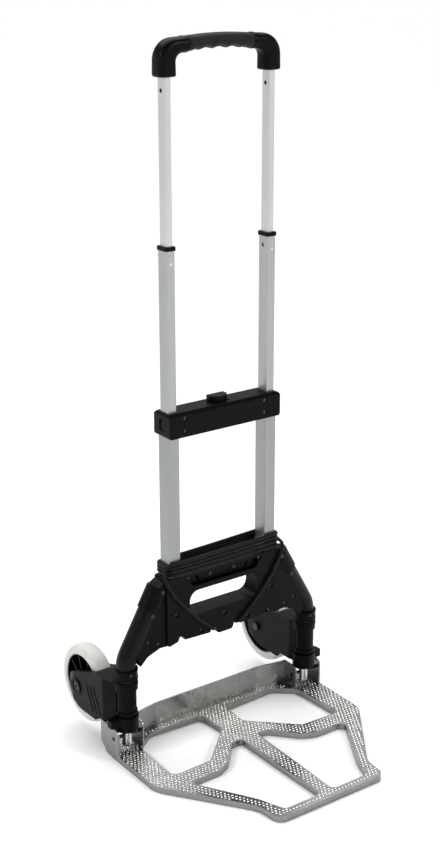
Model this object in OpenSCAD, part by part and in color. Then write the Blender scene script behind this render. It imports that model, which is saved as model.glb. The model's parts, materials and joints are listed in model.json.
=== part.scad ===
// Folding hand truck: telescopic two-stage handle, moulded body, swinging wheels and a folding toe plate.
// The floor is z = 0, the toe plate points along -Y, and the origin is under the middle of the footprint.
// Modules are drawn about the plane of the legs, and at_legs() puts them in the shared frame.

/* [Heights] */
// Top of the grip above the floor, handle pulled right out
grip_top_z = 1058; // [1000:1:1120]
// Top of the cap that ends the middle stage
mid_cap_z = 775; // [740:1:820]
// Top of the crossbar that ends the outer tubes
crossbar_top_z = 534; // [500:1:570]
// Height of the crossbar
crossbar_h = 37; // [34:0.5:44]
// Top of the moulded body
body_top_z = 277; // [274:1:290]
// Top of the collar that closes each leg
collar_top_z = 147; // [140:1:150]
// Height of the toe-plate hinge pins
hinge_z = 34.5; // [33:0.5:36]

/* [Widths] */
// Distance between the centres of the two tube columns
tube_pitch = 176; // [164:1:190]
// Distance between the axes of the two legs
leg_pitch = 342; // [330:1:360]
// Depth of the body from front face to back face
body_depth = 34; // [34:0.5:38]
// Depth of the crossbar from front face to back face
crossbar_depth = 40; // [38:0.5:46]

/* [Tubes] */
// Outer tube, width across the truck
outer_w = 20; // [20:0.1:22]
// Outer tube, depth
outer_d = 26; // [26:0.1:27]
// Middle tube, width
mid_w = 15; // [14.4:0.1:15.4]
// Middle tube, depth
mid_d = 21.5; // [20.8:0.1:22]
// Inner tube, width
top_w = 11; // [10.4:0.1:11.4]
// Inner tube, depth
top_d = 17; // [16.4:0.1:17.6]
// Wall of the rectangular tubes
tube_wall = 1.2; // [0.8:0.1:1.4]
// Corner radius of the rectangular tubes
tube_corner = 2.2; // [1.5:0.1:3]
// Length of each stage that stays inside the next when it is pulled out
stage_overlap = 74; // [60:1:90]

/* [Legs] */
// Radius of the round leg tube
leg_r = 15; // [14:0.1:15.5]
// Wall of the round leg tube
leg_wall = 1.5; // [1.2:0.1:2]
// Lean of the upper leg from the vertical, in degrees
leg_lean = 29.5; // [26:0.5:32]
// Radius of the bend in the leg
leg_bend_r = 50; // [40:1:60]
// Height at which the leaning and upright lines of the leg meet
leg_knee_z = 158.5; // [156:0.5:162]
// Radius of the steel pivot post inside each leg
post_r = 8; // [7:0.1:8.5]

/* [Wheels] */
// Outer radius of the tyre
wheel_r = 62.5; // [50:0.5:64]
// Width of the tyre
wheel_w = 28; // [22:0.5:29]
// Distance of the axle behind the leg
wheel_reach = 102.5; // [100:0.5:106]
// Gap between the tyre and the floor while the truck stands on its plate
wheel_lift = 17; // [10:0.5:20]
// Radius of the axle bolt
axle_r = 4; // [3.5:0.1:5]

/* [Toe plate] */
// Distance of the plate's front edge from the legs
plate_reach = 282; // [250:1:320]
// Height of the load face
plate_top_z = 10; // [8:0.5:11]
// Thickness of the aluminium sheet
sheet = 2.5; // [2:0.1:3]
// Gap between the two ears that hold one leg
ear_gap = 43.5; // [42:0.5:46]
// Height of the ears
ear_top_z = 52; // [48:0.5:53]

/* [Button] */
// Travel of the release button
button_travel = 4; // [3:0.1:5]

/* [Hidden] */
$fn = 48;
LEFT = -1;
RIGHT = 1;
through = 1;             // how far a cut runs past the face it opens
slide_gap = 0.3;         // gap between plain faces that slide past each other
fit = 0.05;              // radial clearance of a shaft that turns or slides in its hole

// Frame: the footprint from the plate's front edge to the back of the tyres is centred on the origin
leg_y = (plate_reach - wheel_reach - wheel_r) / 2;
tube_x = tube_pitch / 2;
leg_x = leg_pitch / 2;

// Body
shell_wall = 3;
body_y = body_depth / 2;
column_x = tube_x + outer_w / 2 + 8;
body_low_z = 170;
wing_y = 13.5;
sleeve_r = leg_r + 2;
slot_half_w = 65;
slot_low_z = 208;
slot_high_z = 248;
slit_x = 46;                // slits in the recessed panel
slit_w = 3.4;
slit_h = 16;
slit_lean = 26;
screw_r = 1.5;
screw_head_r = 3.2;
screw_head_h = 2;
boss_r = 4;

// Legs
knee_reach = leg_bend_r * tan(leg_lean / 2);
leg_run = (leg_x - tube_x - outer_w / 2 - 1 - leg_r * cos(leg_lean)) / sin(leg_lean);
collar_r = leg_r + 3;
collar_low_z = 131;
post_low_z = 20;
post_high_z = collar_top_z + 12;

// Wheels and brackets, u outwards and v backwards from the axis of the leg
wheel_z = wheel_lift + wheel_r;
wheel_u = 2;
rim_r = wheel_r - 11.5;
cheek_gap = 2.5;
inner_cheek = wheel_u - wheel_w / 2 - cheek_gap;
outer_cheek = wheel_u + wheel_w / 2 + cheek_gap;
inner_wall = 4;
outer_wall = 8.5;
bracket_low_z = 46;
bracket_high_z = 128;
bush_r = post_r + 2;

// Toe plate
plate_half_w = leg_x + ear_gap / 2 + sheet;
inner_ear_x = leg_x - ear_gap / 2;
pin_r = 3;

// Crossbar
crossbar_low_z = crossbar_top_z - crossbar_h;
crossbar_half_w = tube_x + 12;
crossbar_y = crossbar_depth / 2;
crossbar_wall = 3;
latch_z = crossbar_low_z + 17;
latch_pin_r = 3;
latch_pin_x = 20;

// Stages
outer_low_z = 186;
outer_high_z = crossbar_top_z - crossbar_wall - 3;
cap_h = 6;
mid_low_z = crossbar_top_z - stage_overlap - 6;
mid_high_z = mid_cap_z - 1.5;
socket_low_z = grip_top_z - 54;
top_low_z = mid_cap_z - stage_overlap + 8;
top_high_z = socket_low_z + 26;
bush_h = 18;
screw_rows = [crossbar_low_z + 9, crossbar_low_z + 28];

// Handle
grip_half_w = 54;
elbow_half_w = 14;

// Elastic cord: the centre line, chosen by hand, about the plane of the legs
cord_r = 2.6;
CORD_ENDS = [40, 60];       // where the two ends go in through the rear shell
cord_end_z = 262;
CORD = [[40, 6, 262], [40, 16, 262], [42, 20, 264], [60, 20, 270], [84, 20, 276], [97, 17, 281],
    [102, 12, 282], [102, -12, 282.5], [98, -17, 283], [0, -16.5, 282.5], [-98, -17, 283],
    [-102, -12, 283.5], [-102, 12, 284], [-98, 17, 284.5], [0, 18, 286], [98, 17, 289],
    [102, 12, 289.5], [102, -12, 290.2], [98, -17, 290.5], [0, -16.5, 289], [-98, -17, 289],
    [-102, -12, 289.3], [-102, 12, 289.7], [-98, 17, 290], [0, 18, 291.5], [98, 17, 294.6],
    [102, 12, 295.5], [102, -12, 296.6], [98, -17, 297], [0, -16.5, 295.2], [-98, -17, 294.7],
    [-102, -12, 294.9], [-102, 12, 295.2], [-98, 17, 295.6], [0, 18, 297], [98, 17, 300.4],
    [102, 12, 301.2], [102, -12, 302.2], [98, -17, 302.7], [0, -16.5, 301], [-98, -17, 300.4],
    [-103, -13, 299], [-108, -14, 293], [-110, -17, 284], [-108, -20, 274], [-96, -20.3, 252],
    [-75, -20.3, 226], [-48, -20.3, 198], [-27, -20.3, 179.5], [-22.5, -18.5, 174.5], [-21.5, -14, 173.5],
    [-21.5, 14, 173.5], [-20, 19, 174.5], [-12, 20.3, 176], [12, 20.3, 176], [20, 19, 174.5],
    [21.5, 14, 173.5], [21.5, -14, 173.5], [22.5, -18.5, 174.5], [27, -20.3, 178], [48, -20.3, 196],
    [70, -20.3, 218], [88, -20.3, 240], [100, -20.3, 260], [108, -20, 274], [111, -16, 284], [111, 0, 288],
    [108, 16, 283], [100, 20, 276], [80, 20.3, 268], [62, 20, 262.5], [60, 16, 262], [60, 6, 262]];

// ---- geometry helpers -------------------------------------------------------------------------

function unit(v) = v / norm(v);
function flat(p) = [p[0], p[1]];

// Points of the arc of radius r that rounds corner b of the line a-b-c
function corner_arc(a, b, c, r, steps) =
    let (u = unit(a - b), v = unit(c - b), half = acos(u * v) / 2,
        reach = min(r / tan(half), 0.49 * norm(a - b), 0.49 * norm(c - b)),
        arc_r = reach * tan(half), mid = b + unit(u + v) * arc_r / sin(half),
        p = b + u * reach - mid, q = b + v * reach - mid,
        start = atan2(p[1], p[0]), turn = (atan2(q[1], q[0]) - start + 540) % 360 - 180)
    [for (i = [0 : steps]) mid + arc_r * [cos(start + turn * i / steps), sin(start + turn * i / steps)]];

// An outline of [x, y, corner radius] as a list of points
function rounded(path, steps = 6) =
    [for (i = [0 : len(path) - 1])
        let (n = len(path), a = path[(i + n - 1) % n], b = path[i], c = path[(i + 1) % n])
        each (b[2] > 0 ? corner_arc(flat(a), flat(b), flat(c), b[2], steps) : [flat(b)])];

// The same outline moved inwards by d; it runs anticlockwise
function inset(path, d) =
    [for (i = [0 : len(path) - 1])
        let (n = len(path), a = path[(i + n - 1) % n], b = path[i], c = path[(i + 1) % n],
            u = unit(flat(b) - flat(a)), v = unit(flat(c) - flat(b)),
            side_u = [-u[1], u[0]], side_v = [-v[1], v[0]], k = d / (1 + side_u * side_v),
            left_turn = u[0] * v[1] - u[1] * v[0] > 0)
        [b[0] + k * (side_u[0] + side_v[0]), b[1] + k * (side_u[1] + side_v[1]),
            b[2] <= 0 ? 0 : left_turn ? max(b[2] - d, 0.2) : b[2] + d]];

// A right half outline, from bottom to top, made whole
function whole(half) = concat(half,
    [for (i = [len(half) - 1 : -1 : 0]) [-half[i][0], half[i][1], half[i][2]]]);
function box_path(w, h, r) = [[-w / 2, -h / 2, r], [w / 2, -h / 2, r], [w / 2, h / 2, r], [-w / 2, h / 2, r]];

module at_legs() translate([0, leg_y, 0]) children();
module on_side(side) mirror([side < 0 ? 1 : 0, 0, 0]) children();
module both_sides() for (side = [LEFT, RIGHT]) on_side(side) children();

// Prism of an (x, z) outline between two depths
module slab(path, y0, y1, steps = 6)
    translate([0, y1, 0]) rotate([90, 0, 0]) linear_extrude(y1 - y0) polygon(rounded(path, steps));

// Prism of an (x, y) outline between two heights
module layer(path, z0, z1, steps = 6)
    translate([0, 0, z0]) linear_extrude(z1 - z0) polygon(rounded(path, steps));

// Prism of a (y, z) outline between two places across the truck
module side_slab(path, x0, x1, steps = 6)
    translate([x0, 0, 0]) rotate([90, 0, 90]) linear_extrude(x1 - x0) polygon(rounded(path, steps));

module rod_x(r, x0, x1) translate([x0, 0, 0]) rotate([0, 90, 0]) cylinder(r = r, h = x1 - x0);
module rod_y(r, y0, y1) translate([0, y0, 0]) rotate([-90, 0, 0]) cylinder(r = r, h = y1 - y0);
module rod_z(r, z0, z1) translate([0, 0, z0]) cylinder(r = r, h = z1 - z0);

// Rectangular tube on the tube column of one side
module column_tube(side, w, d, z0, z1, wall = tube_wall)
    translate([side * tube_x, 0, 0]) difference() {
        layer(box_path(w, d, tube_corner), z0, z1);
        if (wall > 0)
            layer(box_path(w - 2 * wall, d - 2 * wall, tube_corner - wall / 2), z0 - through, z1 + through);
    }

// Tube swept along a list of points, with its ends closed
module sweep(points, r, sides) {
    count = len(points);
    function heading(i) = unit(points[min(i + 1, count - 1)] - points[max(i - 1, 0)]);
    function across(i) = unit(cross(heading(i), abs(heading(i)[2]) < 0.8 ? [0, 0, 1] : [0, 1, 0]));
    // each ring's first direction is carried on from the ring before, so the tube doesn't twist
    function carried(i, a) = unit(a - heading(i) * (a * heading(i)));
    starts = [for (i = 0, a = across(0); i < count; i = i + 1, a = i < count ? carried(i, a) : a) a];
    rings = [for (i = [0 : count - 1]) for (k = [0 : sides - 1])
        points[i] + r * (cos(360 * k / sides) * starts[i]
            + sin(360 * k / sides) * cross(heading(i), starts[i]))];
    walls = [for (i = [0 : count - 2]) for (k = [0 : sides - 1])
        let (a = i * sides + k, b = i * sides + (k + 1) % sides)
        each [[a, b, b + sides], [a, b + sides, a + sides]]];
    first = [for (k = [sides - 1 : -1 : 0]) k];
    last = [for (k = [0 : sides - 1]) (count - 1) * sides + k];
    polyhedron(rings, concat([first], walls, [last]), convexity = 8);
}

// ---- body and legs ----------------------------------------------------------------------------

// Right half of the body's outline, with the tongue and the two notches that hold the cord
BODY_HALF = [[14, 165, 5], [18, 177, 2.5], [25, 177, 2.5], [28, body_low_z, 2],
    [tube_x - 13, body_low_z + 2, 2], [tube_x - 10, body_low_z + 9, 2], [tube_x - 4, body_low_z + 9, 2],
    [tube_x - 1, body_low_z + 2, 3], [column_x, body_low_z - 3, 4], [column_x, body_top_z, 4]];
WING = [[column_x - 10, 168, 0], [column_x + 12, 169, 10], [leg_x - 31, 161, 14],
    [leg_x - 18, collar_top_z + 1, 1], [leg_x - 12, leg_knee_z + 14, 4],
    [leg_x - leg_run * sin(leg_lean) + 9, leg_knee_z + leg_run * cos(leg_lean) + 3, 4],
    [column_x + 3, body_top_z - 4, 5], [column_x - 10, body_top_z - 4, 0]];
SLOT = [[-slot_half_w, slot_low_z, 16], [slot_half_w, slot_low_z, 16], [slot_half_w, slot_high_z, 16],
    [-slot_half_w, slot_high_z, 16]];
PANEL = [[-60, slot_high_z + 8, 6], [60, slot_high_z + 8, 6], [68, body_top_z - 4, 2],
    [-68, body_top_z - 4, 2]];
// Body screws: place across, height, and where the underside of the head sits
on_block = -body_y + 3.2;
on_wing = -wing_y + 2.4;
on_tube = -leg_r;
panel_recess = 8;
panel_y = -body_y + panel_recess;
on_panel = panel_y + 0.4;
HALF_SCREWS = [[112, 260, on_tube - 0.2], [131, 226, on_tube], [89, 216, on_block], [120, 176, on_wing],
    [138, 183, on_wing], [44, 178, on_block], [22, 264, on_panel], [66, 270.5, on_block]];
SCREWS = concat([[0, 196, on_block]],
    [for (s = HALF_SCREWS) for (side = [LEFT, RIGHT]) [side * s[0], s[1], s[2]]]);
// A screw in front of a column tube stops inside that tube's wall
function in_tube(s) = abs(abs(s[0]) - tube_x) < outer_w / 2 && s[1] > outer_low_z;

module at_knee(lean) translate([leg_x, 0, leg_knee_z]) rotate([0, -lean, 0]) children();

// Straight lengths of one leg: the upright end, two that follow the bend, and the leaning run; reach is
// how far a length in the bend goes past its middle, and more is how far each end is carried on
bend_steps = 3;
bend_reach = leg_bend_r * tan(leg_lean / bend_steps / 2);
module at_bend(turn) translate([leg_x - leg_bend_r, 0, leg_knee_z - knee_reach])
    rotate([0, -leg_lean * turn, 0]) children();
module leg_length(i, r, more, reach) at_bend(i / bend_steps) translate([leg_bend_r, 0, 0])
    rod_z(r, i == 0 ? collar_top_z - 10 - leg_knee_z + knee_reach - more : -reach,
        i == bend_steps ? leg_run - knee_reach + more : reach);

// Room for one leg, its lengths overlapping round the bend
module leg_room() for (i = [0 : bend_steps]) leg_length(i, leg_r, 0, bend_reach + 1);

// One leg, its lengths cut to mitres where they meet; the bend draws the tube in by a hair at each mitre
bend_draw = 0.04;
module leg_line(r, more = 0) for (i = [0 : bend_steps]) difference() {
    leg_length(i, r - bend_draw * (i == 0 ? 0 : bend_steps - i), more, bend_reach + r);
    if (i > 0) at_bend((i - 0.5) / bend_steps)
        translate([0, -leg_bend_r, -leg_bend_r]) cube([2 * leg_bend_r, 2 * leg_bend_r, leg_bend_r]);
    if (i < bend_steps) at_bend((i + 0.5) / bend_steps)
        translate([0, -leg_bend_r, 0]) cube([2 * leg_bend_r, 2 * leg_bend_r, leg_bend_r]);
}

// One half of the body; front is -1 and rear is 1, and the split is the plane of the legs
module body_shell(face) {
    y0 = face < 0 ? -body_y : 0;
    y1 = face < 0 ? 0 : body_y;
    w0 = face < 0 ? -wing_y : 0;
    w1 = face < 0 ? 0 : wing_y;
    c0 = face < 0 ? y0 + shell_wall : -through;
    c1 = face < 0 ? through : y1 - shell_wall;
    v0 = face < 0 ? w0 + shell_wall : -through;
    v1 = face < 0 ? through : w1 - shell_wall;
    at_legs() difference() {
        union() {
            difference() {
                union() {
                    slab(whole(BODY_HALF), y0, y1);
                    both_sides() slab(WING, w0, w1);
                    both_sides() intersection() {
                        at_knee(leg_lean) rod_z(sleeve_r, leg_run - 36, leg_run + 1);
                        translate([0, y0, 0]) cube([leg_x, body_y, body_top_z]);
                    }
                }
                slab(inset(whole(BODY_HALF), shell_wall), c0, c1);
                both_sides() slab(inset(WING, shell_wall), v0, v1);
                slab(PANEL, face < 0 ? y0 - through : y1 - 3, face < 0 ? panel_y : y1 + through);
            }
            slab(inset(SLOT, -shell_wall), y0, y1);
            slab(inset(PANEL, -1), face < 0 ? panel_y : y1 - 6, face < 0 ? panel_y + 3 : y1 - 3);
            for (s = SCREWS) translate([s[0], 0, s[1]])
                if (s[2] == on_block) rod_y(boss_r, y0 + (face < 0 ? 1 : 0), y1 - (face < 0 ? 0 : 1));
                else if (s[2] == on_panel) rod_y(boss_r, face < 0 ? panel_y : 0, y1 - (face < 0 ? 0 : 1));
                else rod_y(boss_r, w0, w1);
        }
        slab(SLOT, y0 - through, y1 + through);
        both_sides() translate([slit_x, y0 - through, body_top_z - 12]) rotate([0, slit_lean, 0])
            translate([-slit_w / 2, 0, -slit_h / 2]) cube([slit_w, body_y + 2 * through, slit_h]);
        both_sides() leg_room();
        for (side = [LEFT, RIGHT]) column_tube(side, outer_w, outer_d, outer_low_z, body_top_z + through, 0);
        for (s = SCREWS) translate([s[0], 0, s[1]]) {
            rod_y(screw_r, y0 - through, face < 0 ? through : 8);
            rod_y(screw_head_r + 0.4, -body_y - through, s[2]);
        }
        if (face > 0) for (x = CORD_ENDS)
            translate([x, 0, cord_end_z]) rod_y(cord_r + slide_gap, 0, y1 + through);
    }
}

module body_front_shell() color([0.13, 0.13, 0.15]) body_shell(-1);
module body_rear_shell() color([0.13, 0.13, 0.15]) body_shell(1);

// A pan-head screw along +Y, its head's underside at y = 0
module screw(length) {
    rod_y(screw_r, 0, length);
    difference() {
        rod_y(screw_head_r, -screw_head_h, 0);
        translate([0, -screw_head_h, 0]) {
            cube([3.6, 2, 0.9], center = true);
            cube([0.9, 2, 3.6], center = true);
        }
    }
}

module body_screws() color([0.62, 0.56, 0.48]) at_legs()
    for (s = SCREWS) translate([s[0], s[2], s[1]]) screw(-s[2] + (in_tube(s) ? tube_wall - outer_d / 2 : 5));

module leg_tube(side) color([0.15, 0.15, 0.17]) at_legs() on_side(side) difference() {
    leg_line(leg_r);
    leg_line(leg_r - leg_wall, through);
    for (s = SCREWS) if (s[0] > 0 && s[2] <= on_tube) translate([s[0], 0, s[1]])
        rod_y(screw_r, -body_y, body_y);
    translate([leg_x, 0, collar_low_z + 9]) rod_y(screw_r, -body_y, 0);
}

module leg_collar(side) color([0.11, 0.11, 0.12]) at_legs() translate([side * leg_x, 0, 0]) difference() {
    union() {
        rod_z(collar_r, collar_low_z, collar_top_z);
        rod_z(collar_r + 0.7, collar_low_z, collar_low_z + 3);
        rod_z(collar_r + 0.7, collar_top_z - 3, collar_top_z);
    }
    rod_z(post_r, collar_low_z - through, collar_top_z);
    rod_z(leg_r, collar_top_z - 10, collar_top_z + through);
    translate([0, 0, collar_low_z + 9]) {
        rod_y(screw_head_r + 0.4, -collar_r - through, -collar_r + screw_head_h + 0.6);
        rod_y(screw_r, -collar_r, 0);
    }
}

module collar_screws() color([0.55, 0.55, 0.56]) at_legs() for (side = [LEFT, RIGHT])
    translate([side * leg_x, -collar_r + screw_head_h + 0.6, collar_low_z + 9]) screw(collar_r - post_r - 3);

module pivot_post(side) color([0.8, 0.8, 0.82]) at_legs() translate([side * leg_x, 0, 0]) difference() {
    rod_z(post_r, post_low_z, post_high_z);
    rod_z(post_r - 2, post_low_z - through, post_high_z + through);
    translate([0, 0, hinge_z]) rod_x(pin_r, -post_r - through, post_r + through);
}

module post_plugs() color([0.08, 0.08, 0.08]) at_legs() for (side = [LEFT, RIGHT])
    translate([side * leg_x, 0, 0]) {
        rod_z(post_r - 2, post_low_z, post_low_z + 8);
        rod_z(post_r - 0.4, post_low_z - 1.5, post_low_z);
    }

module thrust_washers() color([0.75, 0.74, 0.7]) at_legs() for (side = [LEFT, RIGHT])
    translate([side * leg_x, 0, 0]) difference() {
        rod_z(collar_r - 2, bracket_high_z + slide_gap, collar_low_z);
        rod_z(post_r, bracket_high_z - through, collar_low_z + through);
    }

module retaining_rings() color([0.25, 0.25, 0.27]) at_legs() for (side = [LEFT, RIGHT])
    translate([side * leg_x, 0, 0]) difference() {
        rod_z(post_r + 1.8, bracket_low_z - 1.5 - slide_gap, bracket_low_z - slide_gap);
        rod_z(post_r, bracket_low_z - 3, bracket_low_z + through);
    }

module hinge_pin(side) color([0.35, 0.35, 0.37]) at_legs() on_side(side) translate([0, 0, hinge_z])
    rod_x(pin_r, inner_ear_x - sheet - 0.8, plate_half_w + 0.8);

// ---- outer tubes and crossbar -----------------------------------------------------------------

module outer_tube(side) color([0.78, 0.79, 0.8]) at_legs() difference() {
    column_tube(side, outer_w, outer_d, outer_low_z, outer_high_z);
    on_side(side) translate([0, 0, latch_z]) rod_x(latch_pin_r + fit, tube_x - outer_w, tube_x);
    for (s = SCREWS) if (s[0] * side > 0 && in_tube(s))
        translate([s[0], 0, s[1]]) rod_y(screw_r, -outer_d, 0);
}

// One half of the crossbar, split on the plane of the legs
module crossbar_shell(face) {
    y0 = face < 0 ? -crossbar_y : 0;
    outline = [[-crossbar_half_w, crossbar_low_z, 4], [crossbar_half_w, crossbar_low_z, 4],
        [crossbar_half_w, crossbar_top_z, 5], [-crossbar_half_w, crossbar_top_z, 5]];
    at_legs() difference() {
        union() {
            difference() {
                slab(outline, y0, y0 + crossbar_y);
                slab(inset(outline, crossbar_wall), face < 0 ? y0 + crossbar_wall : -through,
                    face < 0 ? through : crossbar_y - crossbar_wall);
            }
            for (side = [LEFT, RIGHT]) for (z = screw_rows) translate([side * (tube_x - 16), 0, z])
                rod_y(boss_r, face < 0 ? y0 + 1 : 0, face < 0 ? 0 : crossbar_y - 1);
        }
        for (side = [LEFT, RIGHT]) {
            column_tube(side, outer_w, outer_d, crossbar_low_z - through, crossbar_top_z - crossbar_wall, 0);
            column_tube(side, mid_w + 2 * slide_gap, mid_d + 2 * slide_gap, crossbar_low_z,
                crossbar_top_z + through, 0);
        }
        // opening for the button
        translate([0, 0, crossbar_top_z]) cube([30 + 2 * slide_gap, 18 + 2 * slide_gap, 10], center = true);
        // bevel along the upper front edge, and the recess in each end
        translate([0, face * crossbar_y, crossbar_top_z]) rotate([45, 0, 0])
            cube([2 * crossbar_half_w + 2, 6, 6], center = true);
        for (side = [LEFT, RIGHT]) translate([side * crossbar_half_w, 0, crossbar_low_z + crossbar_h / 2])
            cube([3, 12, 18], center = true);
        for (side = [LEFT, RIGHT]) for (z = screw_rows) translate([side * (tube_x - 16), 0, z]) {
            rod_y(screw_r, y0 - through, face < 0 ? through : 14);
            rod_y(screw_head_r + 0.4, -crossbar_y - through, -crossbar_y + screw_head_h + 0.4);
        }
    }
}

module crossbar_front_shell() color([0.1, 0.1, 0.11]) crossbar_shell(-1);
module crossbar_rear_shell() color([0.1, 0.1, 0.11]) crossbar_shell(1);

module crossbar_screws() color([0.5, 0.47, 0.43]) at_legs()
    for (side = [LEFT, RIGHT]) for (z = screw_rows)
        translate([side * (tube_x - 16), -crossbar_y + screw_head_h + 0.4, z]) screw(crossbar_y + 10);

// Spring that keeps both latches out; it fits the gap left at full travel
module latch_spring() color([0.7, 0.7, 0.72]) at_legs() {
    turns = 5;
    half = 10 - button_travel - slide_gap;
    steps = 12;
    coil = [for (i = [0 : turns * steps]) [-half + 0.5 + (2 * half - 1) * i / (turns * steps),
        3 * cos(360 * i / steps), latch_z + 3 * sin(360 * i / steps)]];
    sweep(coil, 0.5, 6);
}

// Latch bar: its round end enters the outer tube, and its slanted slot follows the button's cross pin
module latch(side) color([0.7, 0.71, 0.73]) at_legs() on_side(side) translate([0, 0, latch_z])
    difference() {
        union() {
            translate([10, -3, -6]) cube([44, 6, 12]);
            rod_x(latch_pin_r, 50, tube_x - mid_w / 2 - slide_gap);
        }
        for (i = [0 : 1]) translate([latch_pin_x + i * button_travel, 0, 3 - i * button_travel])
            rod_y(1.5 + slide_gap, -4, 4);
        translate([latch_pin_x + button_travel / 2, 0, 3 - button_travel / 2]) rotate([0, 45, 0])
            cube([button_travel * sqrt(2), 8, 3 + 2 * slide_gap], center = true);
    }

// Half-round button with two forks that carry the cross pins
module release_button() color([0.09, 0.09, 0.1]) at_legs() {
    difference() {
        translate([0, 9, crossbar_top_z - 6]) intersection() {
            cylinder(r = 18, h = 15);
            translate([-15, -18, 0]) cube([30, 18, 15]);
        }
        translate([0, -12, crossbar_top_z + 11]) rotate([35, 0, 0]) cube([40, 8, 8], center = true);
    }
    both_sides() {
        for (y = [-6, 3.5]) translate([latch_pin_x - 3, y, latch_z - 1]) cube([6, 2.5, 15]);
        translate([11, -6, latch_z + 11]) cube([latch_pin_x - 8, 12, 3]);
        translate([latch_pin_x, 0, latch_z + 3]) rod_y(1.5, -5, 5);
    }
}

// ---- middle stage -----------------------------------------------------------------------------

module mid_tube(side) color([0.8, 0.81, 0.82]) at_legs() difference() {
    column_tube(side, mid_w, mid_d, mid_low_z, mid_high_z);
    on_side(side) for (z = [latch_z, mid_cap_z - 19])
        translate([0, 0, z]) rod_x(latch_pin_r, tube_x - mid_w, tube_x);
    translate([side * tube_x, 0, mid_cap_z - 24]) rod_y(screw_r, -mid_d, 0);
}

module mid_cap(side) color([0.09, 0.09, 0.1]) at_legs() difference() {
    column_tube(side, mid_w + 2.4, mid_d + 2.4, mid_cap_z - cap_h, mid_cap_z, 0);
    column_tube(side, mid_w, mid_d, mid_cap_z - cap_h - through, mid_high_z, 0);
    column_tube(side, top_w + 2 * slide_gap, top_d + 2 * slide_gap,
        mid_high_z - through, mid_cap_z + through, 0);
}

// Rivet in the front of each middle tube that holds the guide below its cap
module cap_rivets() color([0.35, 0.35, 0.36]) at_legs() for (side = [LEFT, RIGHT])
    translate([side * tube_x, -mid_d / 2, mid_cap_z - 24]) {
        rod_y(2.2, -0.6, 0);
        rod_y(screw_r, 0, tube_wall);
    }

// Nylon guide at the foot of a stage: it fills the gap to the tube around it
module foot_bush(side, w, d, room_w, room_d, low_z) color([0.2, 0.2, 0.22]) at_legs() difference() {
    union() {
        column_tube(side, room_w - 2 * slide_gap, room_d - 2 * slide_gap, low_z - 4, low_z, 0);
        column_tube(side, w - 2 * tube_wall, d - 2 * tube_wall, low_z, low_z + bush_h, 0);
    }
    translate([side * tube_x, 0, low_z]) cube([w - 6, d - 6, 3 * bush_h], center = true);
}

module mid_bush(side)
    foot_bush(side, mid_w, mid_d, outer_w - 2 * tube_wall, outer_d - 2 * tube_wall, mid_low_z);

// ---- top stage and handle ---------------------------------------------------------------------

module top_tube(side) color([0.82, 0.83, 0.84]) at_legs() difference() {
    column_tube(side, top_w, top_d, top_low_z, top_high_z);
    translate([side * tube_x, 0, socket_low_z - 18]) rod_x(latch_pin_r, -top_w, 0);
}

module top_bush(side)
    foot_bush(side, top_w, top_d, mid_w - 2 * tube_wall, mid_d - 2 * tube_wall, top_low_z);

ELBOW = [[tube_x - elbow_half_w, socket_low_z, 2], [tube_x + elbow_half_w, socket_low_z, 2],
    [tube_x + elbow_half_w, grip_top_z - 4, 26], [grip_half_w, grip_top_z - 2, 0],
    [grip_half_w, grip_top_z - 22, 0], [tube_x - elbow_half_w, grip_top_z - 25, 11]];
GRIP_SIDE = [[-14.5, socket_low_z - 1, 0], [14.5, socket_low_z - 1, 0], [14.5, grip_top_z, 10],
    [-14.5, grip_top_z, 10]];
fingers = 4;
finger_r = 16;
finger_depth = 2.4;
finger_pitch = 23;
grip_low_z = grip_top_z - 23;

module handle_elbow(side) color([0.12, 0.12, 0.13]) at_legs() difference() {
    on_side(side) intersection() {
        slab(ELBOW, -14.5, 14.5);
        side_slab(GRIP_SIDE, 0, leg_x);
    }
    column_tube(side, top_w, top_d, socket_low_z - through, top_high_z, 0);
    translate([side * tube_x, 0, socket_low_z + 12]) {
        rod_y(screw_head_r + 0.4, -16, -14.5 + screw_head_h + 0.2);
        rod_y(screw_r, -15, -top_d / 2);
    }
}

module grip() color([0.1, 0.1, 0.1]) at_legs() difference() {
    intersection() {
        slab([[-grip_half_w, grip_low_z, 3], [grip_half_w, grip_low_z, 3],
            [grip_half_w, grip_top_z - 2, 2], [0, grip_top_z + 1, 90],
            [-grip_half_w, grip_top_z - 2, 2]], -15, 15);
        side_slab([[-15, grip_top_z - 24, 7], [15, grip_top_z - 24, 7], [15, grip_top_z, 10],
            [-15, grip_top_z, 10]], -grip_half_w, grip_half_w);
    }
    for (i = [0 : fingers - 1])
        translate([(i - (fingers - 1) / 2) * finger_pitch, 0, grip_low_z - finger_r + finger_depth])
            rod_y(finger_r, -16, 16);
}

module handle_screws() color([0.5, 0.5, 0.5]) at_legs() for (side = [LEFT, RIGHT])
    translate([side * tube_x, -14.5 + screw_head_h + 0.2, socket_low_z + 12]) screw(3.5);

// ---- toe plate --------------------------------------------------------------------------------

PLATE = whole([[98, -plate_reach, 15], [102, -plate_reach + 42, 34], [plate_half_w, -112, 44],
    [plate_half_w, 36, 12], [inner_ear_x - 1, 24, 6], [97, 33, 60]]);
REAR_CUT = [[20, -36, 12], [88, -101, 14], [inner_ear_x + 8, -104, 12], [inner_ear_x + 4, -8, 18],
    [118, 19, 22], [24, 15, 10]];
FRONT_CUT = [[11, -plate_reach + 15, 10], [76, -plate_reach + 15, 10], [92, -plate_reach + 56, 20],
    [148, -133, 8], [90, -132, 20], [68, -120, 20], [34, -82, 8], [15, -80, 5]];
OUTER_EAR = [[-14, 0, 0], [20, 3, 6], [36, 16, 6], [36, ear_top_z, 6], [-14, ear_top_z, 8]];
INNER_EAR = [[-10, plate_top_z - sheet, 0], [26, plate_top_z - sheet, 0], [26, ear_top_z, 6],
    [-10, ear_top_z, 8]];

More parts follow.
